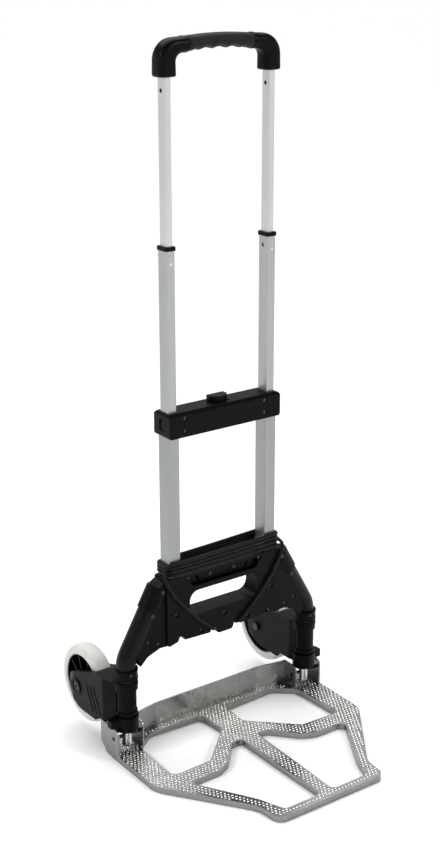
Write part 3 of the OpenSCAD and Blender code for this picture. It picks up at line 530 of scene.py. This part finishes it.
def path_tree():
    """A round tube along the seed's edges, with a UV map whose V is the length in metres."""
    tree = Tree("tube_along_path", Radius="Float", Sides="Int", Material="Material")
    curve = tree.node("GeometryNodeMeshToCurve", {"Mesh": tree.given.outputs[0]})
    along = tree.node("GeometryNodeCaptureAttribute", {"Geometry": curve.outputs[0]}, domain="POINT")
    along.capture_items.new("FLOAT", "Length")
    round_ = tree.node("GeometryNodeCaptureAttribute", domain="POINT")
    round_.capture_items.new("FLOAT", "Factor")
    spline = tree.node("GeometryNodeSplineParameter")
    circle = tree.node("GeometryNodeCurvePrimitiveCircle", {
        "Resolution": tree.input("Sides"), "Radius": tree.input("Radius")})
    tree.group.links.new(circle.outputs[0], round_.inputs["Geometry"])
    tree.group.links.new(spline.outputs["Length"], along.inputs["Length"])
    tree.group.links.new(spline.outputs["Factor"], round_.inputs["Factor"])
    tube = tree.node("GeometryNodeCurveToMesh", {
        "Curve": along.outputs[0], "Profile Curve": round_.outputs[0], "Fill Caps": True})
    uv = tree.node("ShaderNodeCombineXYZ", {0: round_.outputs["Factor"], 1: along.outputs["Length"]})
    stored = tree.node("GeometryNodeStoreNamedAttribute", {
        "Geometry": tube.outputs[0], "Name": "UVMap", "Value": uv.outputs[0]},
        data_type="FLOAT2", domain="CORNER")
    tree.ends(tree.node("GeometryNodeSetShadeSmooth", {"Geometry": stored.outputs[0]}).outputs[0])
    return tree


def dot_tree():
    """A low round dot on every seed point."""
    tree = Tree("raised_dots", Radius="Float", Height="Float", Sides="Int", Material="Material")
    dot = tree.node("GeometryNodeMeshUVSphere", {"Segments": tree.input("Sides"), "Rings": 5, "Radius": 1.0})
    size = tree.node("ShaderNodeCombineXYZ", {
        0: tree.input("Radius"), 1: tree.input("Radius"), 2: tree.input("Height")})
    low = tree.node("GeometryNodeTransform", {"Geometry": dot.outputs[0], "Scale": size.outputs[0]})
    smooth = tree.node("GeometryNodeSetShadeSmooth", {"Geometry": low.outputs[0]})
    on = tree.node("GeometryNodeInstanceOnPoints", {
        "Points": tree.given.outputs[0], "Instance": smooth.outputs[0]})
    tree.ends(on.outputs[0])
    return tree


def screw_tree():
    """A cross-recessed pan head, facing the front, on every seed point."""
    tree = Tree("screw_heads", Radius="Float", Height="Float", Material="Material")
    disc = tree.node("GeometryNodeMeshCylinder", {
        "Vertices": 28, "Radius": tree.input("Radius"), "Depth": tree.input("Height")})
    dome = tree.node("GeometryNodeMeshUVSphere", {
        "Segments": 28, "Rings": 12, "Radius": tree.input("Radius")})
    flat = tree.node("GeometryNodeTransform", {
        "Geometry": dome.outputs[0], "Scale": (1.0, 1.0, 0.42)})
    raised = tree.node("GeometryNodeTransform", {"Geometry": flat.outputs[0]})
    up = tree.node("ShaderNodeMath", {0: tree.input("Height"), 1: 0.30}, operation="MULTIPLY")
    lift = tree.node("ShaderNodeCombineXYZ", {2: up.outputs[0]})
    tree.group.links.new(lift.outputs[0], raised.inputs["Translation"])
    head = tree.node("GeometryNodeMeshBoolean", operation="UNION", solver="EXACT")
    tree.group.links.new(disc.outputs[0], head.inputs["Mesh 2"])
    tree.group.links.new(raised.outputs[0], head.inputs["Mesh 2"])
    cut = tree.node("GeometryNodeMeshBoolean", {"Mesh 1": head.outputs[0]},
                    operation="DIFFERENCE", solver="EXACT")
    for long_x, long_y in ((RECESS_LENGTH, RECESS_WIDTH), (RECESS_WIDTH, RECESS_LENGTH)):
        bar = tree.node("GeometryNodeMeshCube", {"Size": (long_x, long_y, RECESS_DEPTH)})
        place = tree.node("GeometryNodeTransform", {
            "Geometry": bar.outputs[0], "Translation": (0, 0, RECESS_MIDDLE)})
        tree.group.links.new(place.outputs[0], cut.inputs["Mesh 2"])
    on = tree.node("GeometryNodeInstanceOnPoints", {
        "Points": tree.given.outputs[0], "Instance": cut.outputs[0], "Rotation": (math.radians(90), 0, 0)})
    tree.ends(on.outputs[0])
    return tree


# ---- the pieces -----------------------------------------------------------------------------------

def rounded_route(points, step, passes):
    """Points a step apart along straight lines, then evened out so that corners become bends."""
    route = []
    for a, b in zip(points, points[1:]):
        a, b = Vector(a), Vector(b)
        count = max(1, round((b - a).length / step))
        route += [a.lerp(b, k / count) for k in range(count)]
    route.append(Vector(points[-1]))
    for _ in range(passes):
        route = [route[0]] + [(route[i - 1] + 2 * route[i] + route[i + 1]) / 4
                              for i in range(1, len(route) - 1)] + [route[-1]]
    return route


def chain(points):
    return [(i, i + 1) for i in range(len(points) - 1)]


CORD_ROUTE = [
    (0.04, 0.006, 0.262), (0.04, 0.016, 0.262), (0.042, 0.02, 0.264), (0.06, 0.02, 0.27),
    (0.084, 0.02, 0.276), (0.097, 0.017, 0.281), (0.102, 0.012, 0.282), (0.102, -0.012, 0.2825),
    (0.098, -0.017, 0.283), (0, -0.0165, 0.2825), (-0.098, -0.017, 0.283), (-0.102, -0.012, 0.2835),
    (-0.102, 0.012, 0.284), (-0.098, 0.017, 0.2845), (0, 0.018, 0.286), (0.098, 0.017, 0.289),
    (0.102, 0.012, 0.2895), (0.102, -0.012, 0.2902), (0.098, -0.017, 0.2905), (0, -0.0165, 0.289),
    (-0.098, -0.017, 0.289), (-0.102, -0.012, 0.2893), (-0.102, 0.012, 0.2897), (-0.098, 0.017, 0.29),
    (0, 0.018, 0.2915), (0.098, 0.017, 0.2946), (0.102, 0.012, 0.2955), (0.102, -0.012, 0.2966),
    (0.098, -0.017, 0.297), (0, -0.0165, 0.2952), (-0.098, -0.017, 0.2947), (-0.102, -0.012, 0.2949),
    (-0.102, 0.012, 0.2952), (-0.098, 0.017, 0.2956), (0, 0.018, 0.297), (0.098, 0.017, 0.3004),
    (0.102, 0.012, 0.3012), (0.102, -0.012, 0.3022), (0.098, -0.017, 0.3027), (0, -0.0165, 0.301),
    (-0.098, -0.017, 0.3004), (-0.103, -0.013, 0.299), (-0.108, -0.014, 0.293), (-0.11, -0.017, 0.284),
    (-0.108, -0.02, 0.274), (-0.096, -0.0203, 0.252), (-0.075, -0.0203, 0.226),
    (-0.048, -0.0203, 0.198), (-0.027, -0.0203, 0.1795), (-0.0225, -0.0185, 0.1745),
    (-0.0215, -0.014, 0.1735), (-0.0215, 0.014, 0.1735), (-0.02, 0.019, 0.1745),
    (-0.012, 0.0203, 0.176), (0.012, 0.0203, 0.176), (0.02, 0.019, 0.1745), (0.0215, 0.014, 0.1735),
    (0.0215, -0.014, 0.1735), (0.0225, -0.0185, 0.1745), (0.027, -0.0203, 0.178),
    (0.048, -0.0203, 0.196), (0.07, -0.0203, 0.218), (0.088, -0.0203, 0.24), (0.1, -0.0203, 0.26),
    (0.108, -0.02, 0.274), (0.111, -0.016, 0.284), (0.111, 0, 0.288), (0.108, 0.016, 0.283),
    (0.1, 0.02, 0.276), (0.08, 0.0203, 0.268), (0.062, 0.02, 0.2625), (0.06, 0.016, 0.262),
    (0.06, 0.006, 0.262),
]


def build_columns():
    for stage, shade in STAGE_SHADES:
        drawn = anodised_finish(f"anodised_{stage}", tinted(finishes().tube, shade))
        for side, _ in SIDES:
            finish_node(f"{stage}_tube_{side}", drawn)


def build_shells():
    black = moulded_finish("moulded_black", finishes().moulded, 0.40)
    edge = sizes().edge_radius
    for node in ("body_front_shell", "body_rear_shell", "crossbar_front_shell", "crossbar_rear_shell"):
        softened(node, black, edge)
    button = moulded_finish("button_black", tinted(finishes().moulded, 1.2), 0.34)
    softened("release_button", button, 0.0005)
    for side, _ in SIDES:
        softened(f"mid_cap_{side}", black, 0.0006)
        softened(f"leg_collar_{side}", black, 0.0006)


def build_legs():
    s = sizes()
    black = painted_finish()
    tree = path_tree()
    for side, sign in SIDES:
        x, low_z = sign * LEG_X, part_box(f"leg_tube_{side}")[0].z
        reach = s.leg_bend * math.tan(s.leg_lean / 2)
        centre = Vector((x - sign * s.leg_bend, LEG_Y, s.leg_knee - reach))
        path = [Vector((x, LEG_Y, low_z))]
        steps = 14
        for k in range(steps + 1):
            a = s.leg_lean * k / steps
            path.append(centre + s.leg_bend * Vector((sign * math.cos(a), 0, math.sin(a))))
        path.append(Vector((x - sign * s.leg_run * math.sin(s.leg_lean), LEG_Y,
                            s.leg_knee + s.leg_run * math.cos(s.leg_lean))))
        leg = tree.grown_on(f"leg_{side}", path, chain(path), black, Radius=s.leg_radius, Sides=64)
        leg.data.set_sharp_from_angle(angle=math.radians(40))
        stands_for(leg, f"leg_tube_{side}")


def build_cord():
    points = [Vector((x, y + LEG_Y, z)) for x, y, z in CORD_ROUTE]
    route = rounded_route(points, CORD_STEP, CORD_PASSES)
    cord = path_tree().grown_on("elastic_cord_braid", route, chain(route), cord_finish(),
                                Radius=sizes().cord_radius, Sides=14)
    stands_for(cord, "elastic_cord")


def skin_between(name, outer, inner, depths, powers, material, sides=56):
    """A closed loft whose sections span from an outer line to an inner line in the plane of the handle."""
    rings = []
    for o, i, depth, power in zip(outer, inner, depths, powers):
        middle, half = (o + i) / 2, (o - i) / 2
        ring = []
        for k in range(sides):
            a = 2 * math.pi * (k + 0.5) / sides
            c, d = math.cos(a), math.sin(a)
            c = math.copysign(abs(c) ** (2 / power), c)
            d = math.copysign(abs(d) ** (2 / power), d)
            ring.append(middle + half * c + Vector((0, depth * d, 0)))
        rings.append(ring)
    return ringed(name, rings, material)


def build_handle():
    low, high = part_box("grip")
    top = high.z
    half_w = (high.x - low.x) / 2
    rubber = grip_finish()
    stations, outer, inner, depths, powers = 121, [], [], [], []
    for k in range(stations):
        x = -half_w + 2 * half_w * k / (stations - 1)
        t = abs(x) / half_w
        crown = top - 0.0026 * t * t
        scallop = 0.0021 * abs(math.cos(math.pi * x / FINGER_PITCH)) if t < 0.86 else 0.0
        under = top - GRIP_THICKNESS + 0.0008 + 0.0016 * (1 - t * t) + scallop * (1 - t ** 6) - 0.0006 * t
        end = max(0.0, (t - 0.965) / 0.035)
        tuck = 0.0012 * end * end
        outer.append(Vector((x, LEG_Y, crown - tuck)))
        inner.append(Vector((x, LEG_Y, under + tuck)))
        depths.append(0.0148 - 0.0006 * (1 - t) - tuck)
        powers.append(2.5)
    stands_for(skin_between("grip_cover", outer, inner, depths, powers, rubber), "grip")

    gloss = moulded_finish("elbow_black", finishes().moulded, 0.33)
    socket_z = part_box("handle_elbow_right")[0].z
    for side, sign in SIDES:
        def at(x, z):
            return Vector((sign * x, LEG_Y, z))
        x1, x0 = COLUMN_X + ELBOW_HALF_W, COLUMN_X - ELBOW_HALF_W
        outer, inner, depths, powers = [], [], [], []
        steps = 56
        for k in range(steps + 1):
            t = k / steps
            # lower third runs up the tube, then the two lines turn towards the grip
            rise = min(1.0, t / 0.30)
            turn = max(0.0, min(1.0, (t - 0.30) / 0.48)) * math.pi / 2
            run = max(0.0, (t - 0.78) / 0.22)
            big, small = ELBOW_OUTER_BEND, ELBOW_INNER_BEND
            oz, iz = top - ELBOW_TOP_DROP - big, top - ELBOW_UNDER_DROP - small
            o = at(x1 - big * (1 - math.cos(turn)), oz + big * math.sin(turn))
            i = at(x0 - small * (1 - math.cos(turn)), iz + small * math.sin(turn))
            if rise < 1.0:
                o, i = at(x1, socket_z + (oz - socket_z) * rise), at(x0, socket_z + (iz - socket_z) * rise)
            if run > 0.0:
                end = half_w + 0.0002
                o = at(x1 - big + (end - x1 + big) * run, top - ELBOW_TOP_DROP + 0.0012 * run)
                i = at(x0 - small + (end - x0 + small) * run, top - ELBOW_UNDER_DROP + 0.0008 * run)
            tuck = 0.0016 * max(0.0, 1 - t / 0.035) ** 2
            lip = 0.0007 * math.exp(-((t - 0.955) / 0.028) ** 2)
            away = (o - i).normalized()
            outer.append(o - away * (tuck - lip))
            inner.append(i + away * (tuck - lip))
            depths.append(0.0143 - tuck + lip * 0.4)
            powers.append(3.6 - 1.1 * t)
        stands_for(skin_between(f"elbow_{side}", outer, inner, depths, powers, gloss), f"handle_elbow_{side}")


def build_toe_plate():
    s = sizes()
    colour = finishes().plate
    softened("toe_plate", plate_finish("plate_aluminium", colour, 0.26), s.sheet_edge, "toe_plate_sheet")
    mesh = NODES["toe_plate"].data
    probe = BVHTree.FromPolygons([v.co for v in mesh.vertices], [p.vertices[:] for p in mesh.polygons])
    low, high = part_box("toe_plate")
    above = high.z + 0.01

    def on_load_face(x, y, margin):
        tries = [(x, y)] + [(x + margin * math.cos(a * math.pi / 4), y + margin * math.sin(a * math.pi / 4))
                            for a in range(8)]
        for u, v in tries:
            hit = probe.ray_cast(Vector((u, v, above)), Vector((0, 0, -1)))[0]
            if hit is None or abs(hit.z - LOAD_FACE_Z) > FLAT_WITHIN:
                return False
        return True

    rows, points = s.dot_pitch * math.sqrt(3) / 2, []
    for j in range(int((high.y - low.y) / rows) + 1):
        y = low.y + rows * (j + 0.5)
        for i in range(int((high.x - low.x) / s.dot_pitch) + 2):
            x = low.x + s.dot_pitch * (i + 0.5 * (j % 2))
            if on_load_face(x, y, s.dot_radius + DOT_MARGIN):
                points.append((x, y, LOAD_FACE_Z))
    # The domes wear a brighter copy of the sheet's own finish: a painted highlight on the dome tops
    domes = plate_finish("plate_domes_highlight", tinted(colour, finishes().dome_highlight), 0.16)
    dots = dot_tree().grown_on("tread_dots", points, [], domes,
                               Radius=s.dot_radius, Height=s.dot_height, Sides=10)
    placed(dots, "toe_plate", "plate_aluminium")


def build_wheels():
    rim = moulded_finish("rim_black", tinted(finishes().moulded, 0.8), 0.30)
    pale = tyre_finish()
    for side, sign in SIDES:
        softened(f"wheel_rim_{side}", rim, 0.0005)
        low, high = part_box(f"tyre_{side}")
        centre = (low + high) / 2
        half_w, radius = (high.x - low.x) / 2, (high.z - low.z) / 2
        inner = radius * TYRE_BORE
        wall = inner + TYRE_SIDE
        profile = [(half_w - TYRE_CORNER, inner), (half_w, inner + TYRE_CORNER), (half_w, inner + 0.004)]
        steps = 20
        for k in range(steps + 1):
            a = math.pi * k / steps
            c = math.copysign(abs(math.cos(a)) ** TYRE_CROWN, math.cos(a))
            profile.append((half_w * c, wall + (radius - wall) * math.sin(a) ** TYRE_CROWN))
        profile += [(-half_w, inner + 0.004), (-half_w, inner + TYRE_CORNER), (TYRE_CORNER - half_w, inner)]
        tyre = turned(f"tyre_band_{side}", profile, centre, sizes().tyre_segments, pale)
        stands_for(tyre, f"tyre_{side}")


def build_brackets():
    black = moulded_finish("bracket_black", tinted(finishes().moulded, 0.95), 0.38)
    for side, _ in SIDES:
        softened(f"wheel_bracket_{side}", black, 0.0005)


def lumps_of(node):
    """The centre and box of each separate solid in a node."""
    bm = bmesh.new()
    bm.from_mesh(NODES[node].data)
    bmesh.ops.remove_doubles(bm, verts=bm.verts, dist=WELD)
    left, found = set(bm.verts), []
    while left:
        stack, group = [left.pop()], []
        while stack:
            vert = stack.pop()
            group.append(vert.co.copy())
            for edge in vert.link_edges:
                other = edge.other_vert(vert)
                if other in left:
                    left.remove(other)
                    stack.append(other)
        found.append((Vector(map(min, zip(*group))), Vector(map(max, zip(*group)))))
    bm.free()
    return found


def build_screws():
    s = sizes()
    brassy = steel_finish("screw_steel", (0.095, 0.072, 0.055), 0.30, (0.03, 0.022, 0.018))
    tree = screw_tree()
    for node in ("body_screws", "crossbar_screws", "handle_screws", "collar_screws"):
        points = sorted((round((low.x + high.x) / 2, 6), round(low.y + s.screw_head, 6),
                         round((low.z + high.z) / 2, 6)) for low, high in lumps_of(node))
        heads = tree.grown_on(node + "_heads", points, [], brassy,
                              Radius=s.screw_radius, Height=s.screw_head)
        heads.data.shade_smooth()
        heads.data.set_sharp_from_angle(angle=math.radians(30))
        stands_for(heads, node)


def build_fittings():
    zinc = steel_finish("zinc_steel", (0.66, 0.67, 0.68), 0.24)
    nylon = nylon_finish()
    black = moulded_finish("fitting_black", finishes().moulded, 0.42)
    dark = steel_finish("dark_steel_and_hole_shade", (0.05, 0.05, 0.052), 0.24, (0.02, 0.02, 0.02))
    by_slot = {"zinc_steel": zinc, "nylon": nylon, "black_plastic": black, "black_steel": dark,
               "screw_steel": dark, "cord_cover": black, "black_rim": black}
    for node, obj in NODES.items():
        if not obj.hide_render and SLOT_OF[node] in by_slot:
            # Axle bolts, thrust washers and bushes take the dark steel as their own colour; the hinge pins
            # take it too so that they read as the shade inside an open hole: painted shade
            dark_parts_and_hole_shade = node.startswith(("axle_", "hinge_pin", "thrust_washers", "pivot_bush"))
            finish_node(node, dark if dark_parts_and_hole_shade else by_slot[SLOT_OF[node]])


def build_stage():
    stage = bpy.context.scene.hand_truck_stage
    half = stage.floor_size / 2
    mesh = bpy.data.meshes.new("floor")
    mesh.from_pydata([(-half, -half, 0), (half, -half, 0), (half, half, 0), (-half, half, 0)],
                     [], [(0, 1, 2, 3)])
    f = Finish("floor_plain", Specular_IOR_Level=0.2)
    tone = f.between(f.noise(2.0, 2), tinted(stage.floor, 0.995), stage.floor)
    shown("floor", mesh, f.done(tone, f.spread(f.noise(3.0), 0.85, 0.9)))

    world = bpy.data.worlds.new("surround")
    bpy.context.scene.world = world
    world.use_nodes = True
    nodes, links = world.node_tree.nodes, world.node_tree.links
    background = nodes["Background"]
    background.inputs["Strength"].default_value = stage.surround
    # white walls that fall off to a dim ceiling, so that bright metal has something to show
    height = nodes.new("ShaderNodeSeparateXYZ")
    links.new(nodes.new("ShaderNodeTexCoord").outputs["Generated"], height.inputs[0])
    ramp = nodes.new("ShaderNodeValToRGB")
    links.new(height.outputs["Z"], ramp.inputs[0])
    ramp.color_ramp.elements[0].color = (1.0, 1.0, 1.0, 1)
    ramp.color_ramp.elements[0].position = 0.12
    ramp.color_ramp.elements[1].color = (0.06, 0.06, 0.065, 1)
    ramp.color_ramp.elements[1].position = 0.38
    links.new(ramp.outputs[0], background.inputs["Color"])

    for kind, name, place, size, power, colour in (
            ("SUN", "ceiling", (0.4, 1.2, 3.2), math.radians(70), stage.ceiling, (1.0, 1.0, 1.0)),
            ("AREA", "key", (1.4, -2.6, 2.3), 0.8, stage.key, (1.0, 0.985, 0.96)),
            ("AREA", "fill", (-2.8, 0.2, 2.2), 0.7, stage.fill, (0.94, 0.97, 1.0))):
        light = bpy.data.lights.new(name, kind)
        light.energy, light.color = power, colour
        if kind == "SUN":
            light.angle = size
        else:
            light.size = size
        lamp = bpy.data.objects.new(name, light)
        bpy.context.scene.collection.objects.link(lamp)
        lamp.location = place
        lamp.rotation_euler = (Vector((0, 0, 0.45)) - Vector(place)).to_track_quat("-Z", "Y").to_euler()

    ahead = Vector(stage.ahead).normalized()
    right = ahead.cross(Vector(stage.overhead)).normalized()
    up = right.cross(ahead)
    camera = bpy.data.objects.new("camera", bpy.data.cameras.new("camera"))
    bpy.context.scene.collection.objects.link(camera)
    turn = Matrix((right, up, -ahead)).transposed().to_4x4()
    camera.matrix_world = Matrix.Translation(Vector(stage.eye)) @ turn
    camera.data.lens = stage.lens
    camera.data.sensor_width = 36
    camera.data.clip_end = 200
    bpy.context.scene.view_settings.view_transform = "Standard"
    bpy.context.scene.camera = camera


def operator(label, name, words, build):
    """An operator class that runs one builder."""
    def execute(self, context):
        build()
        return {"FINISHED"}
    return type(f"HANDTRUCK_OT_{name}", (bpy.types.Operator,), {
        "__doc__": words, "bl_idname": f"hand_truck.{name}", "bl_label": label,
        "bl_options": {"REGISTER", "UNDO"}, "execute": execute})


OPERATORS = (
    operator("Columns", "columns", "Give the six telescopic tubes their anodised finish", build_columns),
    operator("Shells", "shells", "Round and finish the body, crossbar, caps and collars", build_shells),
    operator("Legs", "legs", "Make the two bent leg tubes", build_legs),
    operator("Cord", "cord", "Make the braided elastic cord along its route", build_cord),
    operator("Handle", "handle", "Make the moulded grip and its two elbows", build_handle),
    operator("Toe plate", "toe_plate", "Make the plate's rounded sheet and its raised dots", build_toe_plate),
    operator("Brackets", "brackets", "Round and finish the two wheel brackets", build_brackets),
    operator("Wheels", "wheels", "Make the pale tyres and the black rims", build_wheels),
    operator("Screws", "screws", "Make the cross-recessed screw heads", build_screws),
    operator("Fittings", "fittings", "Finish the posts, pins, bushes and other small parts", build_fittings),
    operator("Stage", "stage", "Make the floor, the lights and the camera", build_stage),
)


class HANDTRUCK_PT_panel(bpy.types.Panel):
    """Pieces of the hand truck"""
    bl_label = "Hand truck"
    bl_idname = "HANDTRUCK_PT_panel"
    bl_space_type = "VIEW_3D"
    bl_region_type = "UI"
    bl_category = "Hand truck"

    def draw(self, context):
        column = self.layout.column(align=True)
        for made in OPERATORS:
            column.operator(made.bl_idname)
        for group in ("hand_truck_sizes", "hand_truck_finishes", "hand_truck_stage"):
            values = getattr(context.scene, group)
            for name in values.__annotations__:
                self.layout.prop(values, name)


CLASSES = (HandTruckSizes, HandTruckFinishes, HandTruckStage, *OPERATORS, HANDTRUCK_PT_panel)


def register():
    for cls in CLASSES:
        bpy.utils.register_class(cls)
    bpy.types.Scene.hand_truck_sizes = PointerProperty(type=HandTruckSizes)
    bpy.types.Scene.hand_truck_finishes = PointerProperty(type=HandTruckFinishes)
    bpy.types.Scene.hand_truck_stage = PointerProperty(type=HandTruckStage)


def unregister():
    for group in ("hand_truck_sizes", "hand_truck_finishes", "hand_truck_stage"):
        delattr(bpy.types.Scene, group)
    for cls in reversed(CLASSES):
        bpy.utils.unregister_class(cls)


def main():
    register()
    for made in OPERATORS:
        getattr(bpy.ops.hand_truck, made.bl_idname.split(".")[1])()


if __name__ == "__main__":
    main()
